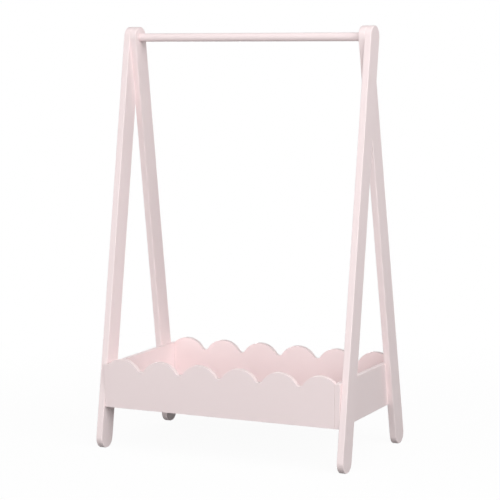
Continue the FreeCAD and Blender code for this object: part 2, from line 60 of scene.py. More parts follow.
UP = Vector((0, 0, 1))
WHITE = (1.0, 1.0, 1.0, 1.0)
TURNED_BACK = Matrix.Rotation(math.pi, 4, "Z")
# points closer than this are one
TOUCH = 1e-6
# edges that turn by more degrees than this stay sharp, on boards and on round pieces
BOARD_SHARP = 40.0
ROUND_SHARP = 30.0
# how far apart two boards are in the paint's patterns
BOARD_SHIFT = Vector((0.37, 1.9, 0.61))
LOG = logging.getLogger("rack")

Triple = tuple[float, float, float]
# the end of a straight stroke, or an arc's centre, its angle and its chords
Stroke = tuple[float, ...]


class Named(Enum):
    """An option whose name stands in the names of pieces."""

    @property
    def word(self) -> str:
        """The option as it stands in a piece's name."""
        return self.name.lower()


class Side(Named):
    """Which end of the rail a piece is at."""

    LEFT = -1
    RIGHT = 1

    @property
    def mirror(self) -> Matrix:
        """From the right end of the rack to this one."""
        return Matrix.Diagonal((self.value, 1, 1, 1))


class Depth(Named):
    """Whether a piece is at the front or the rear."""

    FRONT = -1
    REAR = 1


class Slot(Enum):
    """The material slots that pieces are dressed from."""

    PAINT = "pink_paint"
    STEEL = "steel"
    INSERT = "insert_metal"
    BEECH = "bare_wood"


class Tone:
    """One shader value, whose arithmetic adds Math nodes to its bench."""

    def __init__(self, bench: "Bench", socket: NodeSocket) -> None:
        """Wrap a socket of a bench's node."""
        self.bench = bench
        self.socket = socket

    def _math(self, operation: str, first: "Value", second: "Value") -> "Tone":
        """The result of one Math node."""
        node = self.bench.node("ShaderNodeMath", {"operation": operation}, {0: first, 1: second})
        return Tone(self.bench, node.outputs[0])

    def __add__(self, other: "Value") -> "Tone":
        """This value plus another."""
        return self._math("ADD", self, other)

    def __radd__(self, other: "Value") -> "Tone":
        """Another value plus this one."""
        return self._math("ADD", other, self)

    def __sub__(self, other: "Value") -> "Tone":
        """This value less another."""
        return self._math("SUBTRACT", self, other)

    def __rsub__(self, other: "Value") -> "Tone":
        """Another value less this one."""
        return self._math("SUBTRACT", other, self)

    def __mul__(self, other: "Value") -> "Tone":
        """This value times another."""
        return self._math("MULTIPLY", self, other)

    def __rmul__(self, other: "Value") -> "Tone":
        """Another value times this one."""
        return self._math("MULTIPLY", other, self)

    def larger(self, other: "Value") -> "Tone":
        """The larger of this value and another."""
        return self._math("MAXIMUM", self, other)


Value = Union[Tone, NodeSocket, float, Sequence[float]]


class Bench:
    """A node tree being put together."""

    def __init__(self, tree: NodeTree) -> None:
        """Clear the node tree of a material or of the world, to start afresh."""
        self.tree = tree
        self.tree.nodes.clear()

    def node(
        self, kind: str, settings: dict[str, Any] | None = None, sockets: dict[Any, Value] | None = None
    ) -> Node:
        """Add one node.

        Args:
            kind: The node's type name.
            settings: Its properties, set first.
            sockets: Values or links for its inputs, by name or number.

        Returns:
            The new node.
        """
        node = self.tree.nodes.new(kind)
        for name, value in (settings or {}).items():
            setattr(node, name, value)
        for name, value in (sockets or {}).items():
            source = value.socket if isinstance(value, Tone) else value
            if isinstance(source, NodeSocket):
                self.tree.links.new(source, node.inputs[name])
            else:
                node.inputs[name].default_value = source
        return node

    def tone(self, node: Node, output: str | int = 0) -> Tone:
        """One output of a node as a value to reckon with."""
        return Tone(self, node.outputs[output])

    def spot(self) -> NodeSocket:
        """Where the shaded point is, in its object's coordinates."""
        return self.node("ShaderNodeTexCoord").outputs["Object"]

    def attribute(self, name: str) -> Node:
        """A node that reads an attribute of the mesh."""
        return self.node("ShaderNodeAttribute", {"attribute_name": name})

    def noise(self, vector: Value, scale: float = 1.0, detail: float = 2.0, roughness: float = 0.5) -> Tone:
        """A noise between 0 and 1, with so many grains to the metre and finer layers of some strength."""
        sockets = {"Vector": vector, "Scale": scale, "Detail": detail, "Roughness": roughness}
        return self.tone(self.node("ShaderNodeTexNoise", {}, sockets), "Fac")

    def stretched(self, vector: Value, scale: Sequence[float]) -> NodeSocket:
        """A vector scaled by a different amount on each axis."""
        sockets = {"Vector": vector, "Scale": scale}
        return self.node("ShaderNodeMapping", {"vector_type": "POINT"}, sockets).outputs["Vector"]

    def blend(self, factor: Value, first: Sequence[float], second: Sequence[float]) -> NodeSocket:
        """A colour between two others, the first where the factor is 0 and the second where it is 1."""
        sockets = {0: factor, 6: opaque(first), 7: opaque(second)}
        return self.node("ShaderNodeMix", {"data_type": "RGBA", "clamp_factor": True}, sockets).outputs[2]

    def bump(self, height: Value, strength: float, distance: float) -> NodeSocket:
        """A normal that follows a relief of some depth in metres."""
        sockets = {"Strength": strength, "Distance": distance, "Height": height}
        return self.node("ShaderNodeBump", {}, sockets).outputs[0]

    def surface(self, sockets: dict[str, Value]) -> None:
        """End the tree in a Principled shader with these inputs."""
        shader = self.node("ShaderNodeBsdfPrincipled", {}, sockets)
        self.node("ShaderNodeOutputMaterial", {}, {"Surface": shader.outputs[0]})


def opaque(colour: Sequence[float]) -> tuple[float, ...]:
    """A colour with full alpha."""
    return (*colour, 1.0)


@dataclass(frozen=True)
class Finish:
    """What a piece's surface is made of."""

    slot: Slot
    word: str

    def material(self) -> Material:
        """Make the finish's material.

        Returns:
            A node material named for its slot.
        """
        made = bpy.data.materials.new(f"{self.slot.value}_finish")
        made.use_nodes = True
        self.mix(Bench(made.node_tree))
        return made

    def mix(self, bench: Bench) -> None:
        """Lay out the finish's nodes on a bench."""
        raise NotImplementedError


@dataclass(frozen=True)
class SatinPaint(Finish):
    """Pale pink satin paint, rolled on boards whose grain shows through it faintly."""

    slot: Slot = Slot.PAINT
    word: str = "painted"
    thin: Triple = (0.94, 0.81, 0.81)
    full: Triple = (0.92, 0.785, 0.787)
    roughness: float = 0.46
    drift_scale: float = 7.0
    grain_scale: Triple = (6.0, 210.0, 210.0)
    peel_scale: float = 620.0
    speck_scale: float = 2400.0
    drift_cover: float = 0.9
    grain_cover: float = 0.25
    arris_cover: float = 0.35
    drift_gloss: float = 0.10
    peel_gloss: float = 0.12
    sawn_gloss: float = 0.07
    arris_gloss: float = 0.05
    grain_relief: float = 0.12
    sawn_filling: float = 0.6
    speck_relief: float = 0.12
    sawn_speck: float = 0.3
    bump_strength: float = 0.3
    bump_depth: float = 0.12 * MM

    def mix(self, bench: Bench) -> None:
        """Lay out the paint: drifts of tone, grain under the film, a rolled texture and thinner arrises.

        Args:
            bench: The material's empty tree.
        """
        board = bench.attribute("board").outputs["Vector"]
        arris = bench.tone(bench.attribute("arris"), "Fac")
        sawn = bench.tone(bench.attribute("sawn"), "Fac")
        drift = bench.noise(board, self.drift_scale, detail=3.0) - 0.5
        grain = bench.noise(bench.stretched(board, self.grain_scale), detail=3.0, roughness=0.6)
        peel = bench.noise(board, self.peel_scale, roughness=0.45)
        speck = bench.noise(board, self.speck_scale, detail=1.0)
        cover = 0.5 + self.drift_cover * drift + self.grain_cover * (grain - 0.5) - self.arris_cover * arris
        gloss = self.roughness + self.drift_gloss * drift + self.peel_gloss * (peel - 0.5)
        gloss = gloss + self.sawn_gloss * sawn + self.arris_gloss * arris
        relief = self.grain_relief * grain * (1 - self.sawn_filling * sawn) + peel
        relief = relief + (self.speck_relief + self.sawn_speck * sawn) * speck
        colour = bench.blend(cover, self.thin, self.full)
        normal = bench.bump(relief, self.bump_strength, self.bump_depth)
        bench.surface({"Base Color": colour, "Roughness": gloss, "Normal": normal})


@dataclass(frozen=True)
class TurnedMetal(Finish):
    """Bare metal from the lathe: dull patches over fine turning marks."""

    bright: Triple = (0.66, 0.66, 0.65)
    dull: Triple = (0.52, 0.53, 0.53)
    roughness: float = 0.26
    patch_scale: float = 260.0
    patch_detail: float = 3.0
    patch_roughness: float = 0.5
    patch_contrast: float = 1.6
    patch_dullness: float = 0.3
    patch_gloss: float = 0.18
    turning_scale: Triple = (9000.0, 500.0, 500.0)
    turning_gloss: float = 0.08
    bump_strength: float = 0.2
    bump_depth: float = 0.03 * MM

    def mix(self, bench: Bench) -> None:
        """Lay out the metal's patches and turning marks.

        Args:
            bench: The material's empty tree.
        """
        spot = bench.spot()
        patch = bench.noise(spot, self.patch_scale, self.patch_detail, self.patch_roughness)
        turning = bench.noise(bench.stretched(spot, self.turning_scale))
        colour = bench.blend(self.patch_contrast * patch - self.patch_dullness, self.dull, self.bright)
        gloss = self.roughness + self.patch_gloss * patch + self.turning_gloss * turning
        normal = bench.bump(turning, self.bump_strength, self.bump_depth)
        bench.surface({"Base Color": colour, "Metallic": 1.0, "Roughness": gloss, "Normal": normal})


@dataclass(frozen=True)
class ZincSteel(TurnedMetal):
    """Bright zinc-plated steel, faintly clouded."""

    slot: Slot = Slot.STEEL
    word: str = "plated"


@dataclass(frozen=True)
class TurnedBrass(TurnedMetal):
    """Plain brass with a little tarnish."""

    slot: Slot = Slot.INSERT
    word: str = "brass"
    bright: Triple = (0.76, 0.61, 0.34)
    dull: Triple = (0.55, 0.41, 0.21)
    roughness: float = 0.24
    patch_scale: float = 320.0
    patch_detail: float = 4.0
    patch_roughness: float = 0.6
    patch_contrast: float = 1.8
    patch_dullness: float = 0.4
    patch_gloss: float = 0.2
    turning_scale: Triple = (7000.0, 400.0, 400.0)
    turning_gloss: float = 0.06


@dataclass(frozen=True)
class BareBeech(Finish):
    """Bare beech with its short darker flecks, grain along X."""

    slot: Slot = Slot.BEECH
    word: str = "beech"
    pale: Triple = (0.74, 0.57, 0.39)
    dark: Triple = (0.50, 0.34, 0.20)
    roughness: float = 0.55
    ring_scale: Triple = (30.0, 900.0, 900.0)
    ring_tone: float = 0.5
    fleck_scale: Triple = (450.0, 3500.0, 3500.0)
    fleck_tone: float = 1.4
    fleck_gloss: float = 0.15
    paleness: float = 0.6
    bump_strength: float = 0.4
    bump_depth: float = 0.08 * MM

    def mix(self, bench: Bench) -> None:
        """Lay out the wood: drawn-out growth rings and flecks.

        Args:
            bench: The material's empty tree.
        """
        spot = bench.spot()
        ring = bench.noise(bench.stretched(spot, self.ring_scale), detail=3.0, roughness=0.6)
        fleck = bench.noise(bench.stretched(spot, self.fleck_scale), detail=1.0)
        darkness = self.ring_tone * ring + self.fleck_tone * fleck - self.paleness
        colour = bench.blend(darkness, self.pale, self.dark)
        gloss = self.roughness + self.fleck_gloss * fleck
        normal = bench.bump(ring + fleck, self.bump_strength, self.bump_depth)
        bench.surface({"Base Color": colour, "Roughness": gloss, "Normal": normal})


class Blank:
    """A solid in the making, shaped with bmesh operators.

    An outline is drawn flat in XY and thickened along Z, and a half profile is turned round X.
    """

    def __init__(self) -> None:
        """Start with an empty mesh and the face values that the paint reads."""
        self.bm = bmesh.new()
        self.arris = self.bm.faces.layers.float.new("arris")
        self.sawn = self.bm.faces.layers.float.new("sawn")

    def trace(self, strokes: Sequence[Stroke]) -> list[BMVert]:
        """Draw an open outline, straight strokes by extrusion and arcs by spin.

        Args:
            strokes: The start point, and then the strokes; an arc is anticlockwise if its angle is positive.

        Returns:
            The outline's last and first points.
        """
        first = pen = bmesh.ops.create_vert(self.bm, co=(*strokes[0], 0))["vert"][0]
        for x, y, *arc in strokes[1:]:
            if arc:
                angle, steps = arc
                turned = bmesh.ops.spin(self.bm, geom=[pen], cent=(x, y, 0), axis=UP, angle=angle, steps=steps)
                pen = next(item for item in turned["geom_last"] if isinstance(item, BMVert))
            else:
                pen = bmesh.ops.extrude_vert_indiv(self.bm, verts=[pen])["verts"][0]
                bmesh.ops.translate(self.bm, verts=[pen], vec=Vector((x, y, 0)) - pen.co)
        return [pen, first]

    def board(self, thickness: float, outline: Sequence[Stroke]) -> "Blank":
        """Close an outline, extrude it along Z and note which faces the saw left.

        Args:
            thickness: How far it is extruded.
            outline: What is traced.

        Returns:
            This blank.
        """
        bmesh.ops.contextual_create(self.bm, geom=self.trace(outline))
        bmesh.ops.contextual_create(self.bm, geom=self.bm.edges[:])
        grown = bmesh.ops.extrude_face_region(self.bm, geom=self.bm.faces[:])["geom"]
        risen = [item for item in grown if isinstance(item, BMVert)]
        bmesh.ops.translate(self.bm, verts=risen, vec=UP * thickness)
        self.face_out()
        for face in self.bm.faces:
            face[self.sawn] = float(abs(face.normal.z) < 0.5)
        return self

    def face_out(self) -> "Blank":
        """Turn all faces outwards; a hollow shape's may agree and still all point inwards.

        Returns:
            This blank.
        """
        bmesh.ops.recalc_face_normals(self.bm, faces=self.bm.faces[:])
        if self.bm.calc_volume(signed=True) < 0:
            bmesh.ops.reverse_faces(self.bm, faces=self.bm.faces[:])
        return self

    @staticmethod
    def on_a_face(edge: BMEdge) -> bool:
        """Whether an edge of a thickened outline runs round one of its two faces."""
        first, second = edge.verts
        return abs(first.co.z - second.co.z) < TOUCH

    @staticmethod
    def at_ends(reach: float) -> Callable[[BMEdge], bool]:
        """A test for the edges of the lower face that end a thickened outline of some half length."""
        return lambda edge: all(abs(abs(point.co.x) - reach) + abs(point.co.z) < TOUCH for point in edge.verts)

    def ease(self, radius: float, wanted: Callable[[BMEdge], bool], segments: int = 3) -> "Blank":
        """Round over some edges.

        Args:
            radius: How far the rounding reaches.
            wanted: Picks the edges.
            segments: How many facets round them.

        Returns:
            This blank.
        """
        edges = [edge for edge in self.bm.edges if wanted(edge)]
        made = bmesh.ops.bevel(
            self.bm,
            geom=edges,
            offset=radius,
            offset_type="OFFSET",
            segments=segments,
            profile=0.5,
            affect="EDGES",
            material=-1,
            clamp_overlap=True,
        )
        for face in made["faces"]:
            face[self.arris] = 1.0
            face[self.sawn] = 0.0
        return self

    def block(self, low: Sequence[float], high: Sequence[float]) -> "Blank":
        """Add a rectangular block.

        Args:
            low: Its lowest corner on all three axes.
            high: The corner opposite.

        Returns:
            This blank.
        """
        near, far = Vector(low), Vector(high)
        spot = Matrix.Translation((near + far) / 2) @ Matrix.Diagonal((*(far - near), 1.0))
        bmesh.ops.create_cube(self.bm, size=1.0, matrix=spot)
        return self

    def rod(self, radius: float, start: Sequence[float], length: float, segments: int = 48) -> "Blank":
        """Add a cylinder that runs along X.

        Args:
            radius: Its radius.
            start: The middle of its left end.
            length: How far it runs.
            segments: How many facets go round.

        Returns:
            This blank.
        """
        middle = Vector(start) + ACROSS * (length / 2)
        spot = Matrix.Translation(middle) @ Matrix.Rotation(math.pi / 2, 4, "Y")
        bmesh.ops.create_cone(
            self.bm, cap_ends=True, segments=segments, radius1=radius, radius2=radius, depth=length, matrix=spot
        )
        return self

    def turn(self, profile: Sequence[Stroke], segments: int = 48, hollow: bool = False) -> "Blank":
        """Turn a half profile round X on the lathe.

        Args:
            profile: (distance along X, radius) points, from one end's middle to the other's.
            segments: How many facets go round.
            hollow: Whether the profile is a loop clear of the axis, whose last point joins the first.

        Returns:
            This blank.
        """
        ends = self.trace(profile)
        if hollow:
            bmesh.ops.contextual_create(self.bm, geom=ends)
        drawn = self.bm.verts[:] + self.bm.edges[:]
        bmesh.ops.spin(self.bm, geom=drawn, axis=ACROSS, angle=math.tau, steps=segments, use_merge=True)
        bmesh.ops.remove_doubles(self.bm, verts=self.bm.verts[:], dist=TOUCH)
        return self.face_out()

    def repeat(self, step: Vector) -> None:
        """Add a second copy of the blank, a step away from it."""
        shape = self.bm.verts[:] + self.bm.edges[:] + self.bm.faces[:]
        bmesh.ops.spin(self.bm, geom=shape, axis=UP, dvec=step, steps=1, use_duplicate=True)

    def place(self, matrix: Matrix) -> "Blank":
        """Move, turn or mirror the whole blank, and keep its faces pointing outwards."""
        bmesh.ops.transform(self.bm, matrix=matrix, verts=self.bm.verts[:])
        return self.face_out()

    def object(self, name: str) -> Object:
        """End the shaping.

        Args:
            name: What the object is called.

        Returns:
            The blank as an object at the origin.
        """
        mesh = bpy.data.meshes.new(name)
        self.bm.to_mesh(mesh)
        self.bm.free()
        made = bpy.data.objects.new(name, mesh)
        bpy.context.scene.collection.objects.link(made)
        return made


def carve(piece: Object, tools: Iterable[Blank]) -> None:
    """Cut tools out of a piece, for good.

    Args:
        piece: The object that is cut.
        tools: Blanks in the shape of its holes, grooves and housings.
    """
    cutters = [tool.object(f"{piece.name}_tool") for tool in tools]
    for cutter in cutters:
        step = piece.modifiers.new("carve", "BOOLEAN")
        step.operation, step.solver, step.object = "DIFFERENCE", "EXACT", cutter
    graph = bpy.context.evaluated_depsgraph_get()
    carved = bpy.data.meshes.new_from_object(piece.evaluated_get(graph))
    piece.modifiers.clear()
    spent = [piece.data, *(cutter.data for cutter in cutters)]
    piece.data = carved
    carved.name = piece.name
    # removing a tool's mesh removes the tool
    for mesh in spent:
        bpy.data.meshes.remove(mesh)


# for each slot, its word in the names of pieces and its material
Palette = dict[Slot, tuple[str, Material]]


@dataclass
class Lines:
    """Lines of the rack that several sub-assemblies share."""

    half_width: float = 304 * MM
    half_depth: float = 171 * MM
    box_bottom: float = 100 * MM
    box_top: float = 203 * MM
    panel_thickness: float = 12 * MM
    panel_face: float = 171.5 * MM
    leg_thickness: float = 16 * MM
    foot_reach: float = 163 * MM
    foot_height: float = 24.2126 * MM
    rail_height: float = 974.5 * MM
    rail_radius: float = 10 * MM
    rail_socket: float = 8 * MM
    bolt_height: float = 130 * MM
    bolt_radius: float = 3 * MM
    bolt_play: float = 0.2 * MM
    insert_radius: float = 4.5 * MM
    insert_length: float = 10 * MM
    rail_insert_length: float = 25 * MM
    peg_height: float = 172 * MM
    peg_radius: float = 3 * MM
    peg_panel_depth: float = 8 * MM
    peg_leg_depth: float = 10 * MM
    dowel_heights: tuple[float, float] = (150 * MM, 184 * MM)
    dowel_length: float = 30 * MM
    dowel_end_depth: float = 8 * MM
    screw_height: float = 127 * MM
    screw_radius: float = 2.25 * MM
    screw_head_radius: float = 4 * MM
    screw_head_height: float = 2.5 * MM
    screw_length: float = 45 * MM
    play: float = 0.1 * MM
    overcut: float = 2 * MM

    @property
    def inner_half_width(self) -> float:
        """How far from the middle the end panels' inner faces are."""
        return self.half_width - self.panel_thickness

    @property
    def outer_face(self) -> float:
        """How far from the middle the front legs' outer faces are."""
        return self.half_width + self.leg_thickness

    @property
    def rail_reach(self) -> float:
        """Half the length of the rail, which ends in the rear legs' sockets."""
        return self.half_width - self.leg_thickness + self.rail_socket

    @property
    def bolt_hole(self) -> float:
        """The radius of the holes that a bolt passes through."""
        return self.bolt_radius + self.bolt_play

    @property
    def corner_line(self) -> float:
        """How far the middle of the front and back panels is from the rail's plane."""
        return self.panel_face - self.panel_thickness / 2

    def leg_offset(self, depth: Depth, height: float) -> float:
        """Where a leg's middle line is along Y at a height."""
        share = (self.rail_height - height) / (self.rail_height - self.foot_height)
        return depth.value * self.foot_reach * share


@dataclass
class SubAssembly:
    """Pieces of the rack that are built and dressed together."""

    lines: Lines
    palette: Palette
    made: list[Object] = field(default_factory=list)

    def finish_piece(
        self,
        node: str,
        blank: Blank,
        slot: Slot,
        tools: Sequence[Blank] = (),
        board: Matrix | None = None,
        sharp: float = BOARD_SHARP,
    ) -> None:
        """Turn a blank into a finished piece that stands for a CAD node.

        Args:
            node: The CAD node's name.
            blank: The piece before it is cut.
            slot: The material slot it is dressed from.
            tools: What is cut out of it.
            board: From the board's own axes, its length first, to the rack's.
            sharp: The angle in degrees from which an edge stays sharp.
        """
        word, material = self.palette[slot]
        piece = blank.object(f"{node}_{word}")
        if tools:
            carve(piece, tools)
        mesh = piece.data
        mesh.materials.clear()
        mesh.materials.append(material)
        # the paint's patterns lie along, across and through each board, apart from those of earlier boards
        back, shift = (board or Matrix.Identity(4)).inverted(), BOARD_SHIFT * len(self.made)
        spots = [part for vertex in mesh.vertices for part in (back @ vertex.co + shift)]
        mesh.attributes.new("board", "FLOAT_VECTOR", "POINT").data.foreach_set("vector", spots)
        mesh.shade_smooth()
        mesh.set_sharp_from_angle(angle=math.radians(sharp))
        weight = piece.modifiers.new("flat_faces", "WEIGHTED_NORMAL")
        weight.keep_sharp = True
        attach(piece, BODY)
        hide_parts(node)
        self.made.append(piece)
        LOG.info("%s: %d faces", piece.name, len(mesh.polygons))


@dataclass
class AFrame(SubAssembly):
    """One end of the rack: a front leg, and a rear leg that leans in behind it at the top."""

    side: Side = Side.RIGHT
    leg_width: float = 51 * MM
    edge_round: float = 1.5 * MM
    end_steps: int = 40
    overall_height: float = 1000 * MM
    housing_play: float = 0.2 * MM
    cover_radius: float = 7.2 * MM
    cover_recess: float = 6 * MM
    rail_play: float = 0.15 * MM

    def build(self) -> None:
        """Build and dress the frame's pieces."""
        self.front_leg()
        self.rear_leg()

    def plank_axes(self, depth: Depth) -> Matrix:
        """How an upright leg's plank stands at the right end.

        Args:
            depth: Front or rear.

        Returns:
            From the plank's own axes, which run along from the rail to the foot, across, and outwards.
        """
        lines = self.lines
        run = Vector((0, depth.value * lines.foot_reach, lines.foot_height - lines.rail_height))
        along = run.normalized()
        across = ACROSS.cross(along)
        turn = Matrix((along, across, ACROSS)).transposed().to_4x4()
        return Matrix.Translation((lines.half_width, 0, lines.rail_height)) @ turn

    def plank(self, extra: float, thickness: float) -> Blank:
        """A flat plank with round ends, drawn from the rail's line.

        Args:
            extra: How much wider it is than a leg, on each side.
            thickness: How thick it is.

        Returns:
            The plank on its own axes.
        """
        lines = self.lines
        radius = self.leg_width / 2 + extra
        reach = math.hypot(lines.foot_reach, lines.rail_height - lines.foot_height)
        end = (-math.pi, self.end_steps)
        return Blank().board(thickness, [(0, -radius), (0, 0, *end), (reach, radius), (reach, 0, *end)])

    def rail_bore(self, radius: float, start: float, length: float) -> Blank:
        """A bore round the rail's line, from a place along X."""
        return Blank().rod(radius, (start, 0, self.lines.rail_height), length)

    def front_leg(self) -> None:
        """The front leg: upright against the end panel, with the rail bolt's recess near its top."""
        lines = self.lines
        hole = self.rail_bore(lines.bolt_hole, lines.half_width - lines.overcut, lines.leg_thickness)
        recess_depth = self.cover_recess + lines.overcut
        recess = self.rail_bore(self.cover_radius, lines.outer_face - self.cover_recess, recess_depth)
        self.leg_piece(Depth.FRONT, self.plank_axes(Depth.FRONT), [hole, recess])

    def rear_leg(self) -> None:
        """The rear leg: it leans in by its own thickness, housed on the end panel and on the front leg."""
        lines = self.lines
        hinge = Matrix.Translation((lines.half_width, 0, 0))
        angle = math.atan2(lines.leg_thickness, self.overall_height)
        lean = hinge @ Matrix.Rotation(-angle, 4, "Y") @ hinge.inverted()
        room = lines.leg_thickness * 2
        housing = self.plank(self.housing_play, room).place(self.plank_axes(Depth.FRONT))
        seat = Blank().block(
            (lines.half_width - room, -lines.half_depth, lines.box_bottom - self.housing_play),
            (lines.half_width, lines.half_depth, lines.box_top + self.housing_play),
        )
        start = lines.rail_reach - lines.leg_thickness
        hole = self.rail_bore(lines.bolt_hole, start, room)
        socket = self.rail_bore(lines.rail_radius + self.rail_play, start, lines.leg_thickness)
        self.leg_piece(Depth.REAR, lean @ self.plank_axes(Depth.REAR), [housing, seat, hole, socket])

    def leg_piece(self, depth: Depth, axes: Matrix, cuts: Sequence[Blank]) -> None:
        """Finish a leg at this end of the rack.

        Args:
            depth: Front or rear.
            axes: From the plank's own axes to the right end's.
            cuts: What is cut out of it there, besides its flat foot and the holes for its insert and its peg.
        """
        lines, mirror = self.lines, self.side.mirror
        blank = self.plank(0, lines.leg_thickness).ease(self.edge_round, Blank.on_a_face).place(axes)
        wide = lines.half_width * 2
        tools = [Blank().block((0, -wide, -self.leg_width), (wide, wide, 0)), *cuts]
        holes = (
            (lines.insert_radius, lines.insert_length, lines.bolt_height),
            (lines.peg_radius, lines.peg_leg_depth, lines.peg_height),
        )
        for radius, length, height in holes:
            mouth = (lines.half_width - lines.overcut, lines.leg_offset(depth, height), height)
            tools.append(Blank().rod(radius + lines.play, mouth, length + lines.play + lines.overcut))
        for part in (blank, *tools):
            part.place(mirror)
        self.finish_piece(f"{depth.word}_leg_{self.side.word}", blank, Slot.PAINT, tools, mirror @ axes)


@dataclass
class ScallopedBox(SubAssembly):
    """The low box: plain ends, scalloped front and back, and a thin base board in grooves."""

    edge_round: float = 0.5 * MM
    seam_round: float = 0.4 * MM
    seam_gap: float = 0.4 * MM
    seam_arris: float = 0.15 * MM
    scallops: int = 6
    scallop_crop: float = 16 * MM
    scallop_gap: float = 2 * MM
    crest_rise: float = 15 * MM
    crest_steps: int = 36
    valley_radius: float = 11 * MM
    valley_steps: int = 14
    bore_segments: int = 24
    base_height: float = 110 * MM
    base_thickness: float = 5 * MM
    groove_depth: float = 5 * MM
    groove_play: float = 0.25 * MM

    def build(self) -> None:
        """Build and dress the box's pieces."""
        for depth in Depth:
            self.scalloped_panel(depth)
        for side in Side:
            self.end_panel(side)
        self.base_board()

    @property
    def scallop_pitch(self) -> float:
        """From the middle of one crest to the next; the outermost ones are cropped by the ends."""
        return (self.lines.inner_half_width + self.scallop_crop) * 2 / self.scallops

    @property
    def crest_radius(self) -> float:
        """The radius of a crest, which leaves a gap to its neighbour's circle."""
        return (self.scallop_pitch - self.scallop_gap) / 2

    @property
    def crest_height(self) -> float:
        """How high the crests' middles are over the floor."""
        return self.lines.box_top + self.crest_rise - self.crest_radius

    @property
    def panel_reach(self) -> float:
        """Half the length of the front and back panels, which leave a fine line at the ends."""
        return self.lines.inner_half_width - self.seam_gap

    @property
    def groove_reach(self) -> float:
        """How far from the rail's plane the front and back grooves end."""
        return self.lines.panel_face - self.lines.panel_thickness + self.groove_depth

    def groove_tool(self, reach: float) -> Blank:
        """The slot for the base board's edges, of some half length."""
        low, height = self.base_height - self.groove_play, self.base_thickness + 2 * self.groove_play
        return Blank().block((-reach, -self.groove_reach, low), (reach, self.groove_reach, low + height))

    def scallop_outline(self) -> list[Stroke]:
        """Lay out the front panel as it is seen from the back.

        Returns:
            Its outline, X across and Y up from the floor.
        """
        bottom, half = self.lines.box_bottom, self.panel_reach
        rise = math.sqrt((self.crest_radius + self.valley_radius) ** 2 - (self.scallop_pitch / 2) ** 2)
        lean = math.atan2(rise, self.scallop_pitch / 2)
        outermost = (self.scallops - 1) / 2 * self.scallop_pitch
        end_angle = math.acos((half - outermost) / self.crest_radius)
        strokes = [(half, self.crest_height + self.crest_radius * math.sin(end_angle))]
        for number in range(self.scallops):
            centre = outermost - number * self.scallop_pitch
            first = end_angle if number == 0 else lean
            last = end_angle if number == self.scallops - 1 else lean
            strokes.append((centre, self.crest_height, math.pi - first - last, self.crest_steps))
            if number < self.scallops - 1:
                dip = centre - self.scallop_pitch / 2
                strokes.append((dip, self.crest_height + rise, 2 * lean - math.pi, self.valley_steps))
        return strokes + [(-half, bottom), (half, bottom)]

    def scalloped_panel(self, depth: Depth) -> None:
        """The front or back panel, between the end panels, grooved and bored for its fasteners.

        Args:
            depth: Front or rear.
        """
        lines = self.lines
        blank = Blank().board(lines.panel_thickness, self.scallop_outline())
        blank.ease(self.edge_round, self._on_the_scallops)
        blank.ease(self.seam_arris, Blank.at_ends(self.panel_reach), 1)
        upright = Matrix(((1, 0, 0, 0), (0, 0, 1, -lines.panel_face), (0, 1, 0, 0), (0, 0, 0, 1)))
        axes = Matrix.Diagonal((1, -depth.value, 1, 1)) @ upright
        blank.place(axes)
        dowel_depth = lines.dowel_length - lines.dowel_end_depth + lines.play
        bores = [(lines.peg_radius + lines.play, dowel_depth, height) for height in lines.dowel_heights]
        screw_depth = lines.screw_length - lines.panel_thickness + lines.play
        bores.append((lines.screw_radius + lines.play / 2, screw_depth, lines.screw_height))
        tools = [self.groove_tool(lines.half_width)]
        for radius, length, height in bores:
            start = (lines.inner_half_width - length, depth.value * lines.corner_line, height)
            for side in Side:
                bore = Blank().rod(radius, start, length + lines.overcut, self.bore_segments)
                tools.append(bore.place(side.mirror))
        node = f"{depth.word}_panel".replace("rear", "back")
        self.finish_piece(node, blank, Slot.PAINT, tools, axes)

    def _on_the_scallops(self, edge: BMEdge) -> bool:
        """Whether an edge of the flat blank runs along the scalloped top of one of its faces."""
        lowest = min(vertex.co.y for vertex in edge.verts)
        return Blank.on_a_face(edge) and lowest > self.crest_height

    def end_panel(self, side: Side) -> None:
        """A plain end panel, eased all round, with a stopped groove and holes for its fasteners.

        Args:
            side: Left or right.
        """
        lines = self.lines
        deep, low, high = lines.half_depth, lines.box_bottom, lines.box_top
        blank = Blank().board(lines.panel_thickness, [(-deep, low), (deep, low), (deep, high), (-deep, high)])
        in_a_joint = Blank.at_ends(deep)
        blank.ease(self.edge_round, lambda edge: not in_a_joint(edge)).ease(self.seam_round, in_a_joint, 2)
        upright = Matrix(((0, 0, 1, lines.inner_half_width), (1, 0, 0, 0), (0, 1, 0, 0), (0, 0, 0, 1)))
        axes = side.mirror @ upright
        tools = [self.groove_tool(lines.inner_half_width + self.groove_depth)]
        for depth in Depth:
            tools += [tool.place(side.mirror) for tool in self.end_tools(depth)]
        self.finish_piece(f"end_panel_{side.word}", blank.place(axes), Slot.PAINT, tools, axes)

